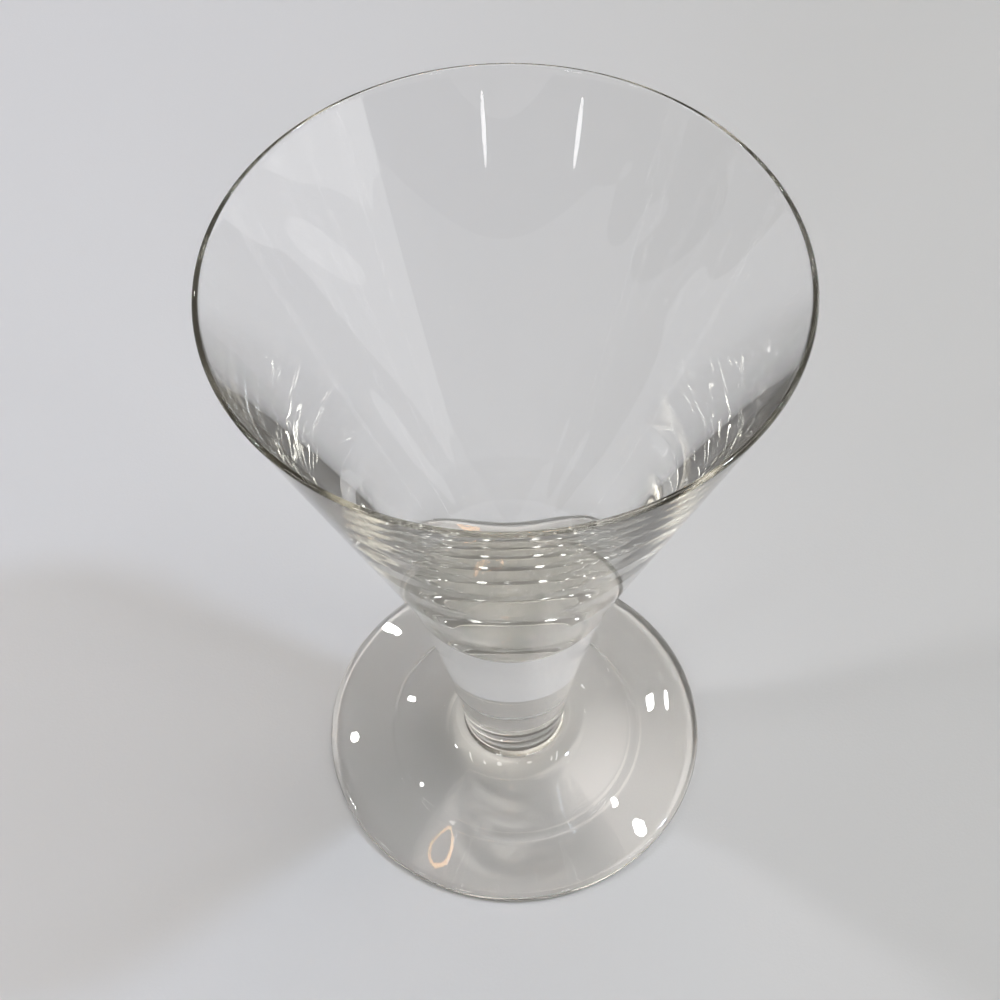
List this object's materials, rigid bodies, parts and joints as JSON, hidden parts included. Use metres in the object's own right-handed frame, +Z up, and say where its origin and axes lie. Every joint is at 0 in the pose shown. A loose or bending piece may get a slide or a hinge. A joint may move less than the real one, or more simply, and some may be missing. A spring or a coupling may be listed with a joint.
{
  "type": "water goblet",
  "caption": "Clear glass water goblet: wide conical bowl with a thin rim, wall thickening to a rounded cavity over a solid tapered stem, on a round, nearly flat foot.",
  "frame": {"origin": "centre of the foot, on the surface that the goblet stands on", "axes": "+Z up along the axis of revolution, out of the mouth; X and Y are free because the goblet is round"},
  "size_m": [0.096, 0.096, 0.1524],
  "materials": {
    "clear_glass": "clear colourless glass, fire polished, smooth all over"
  },
  "bodies": {
    "root": {"bowl": "clear_glass", "stem": "clear_glass", "foot": "clear_glass"}
  },
  "joints": []
}
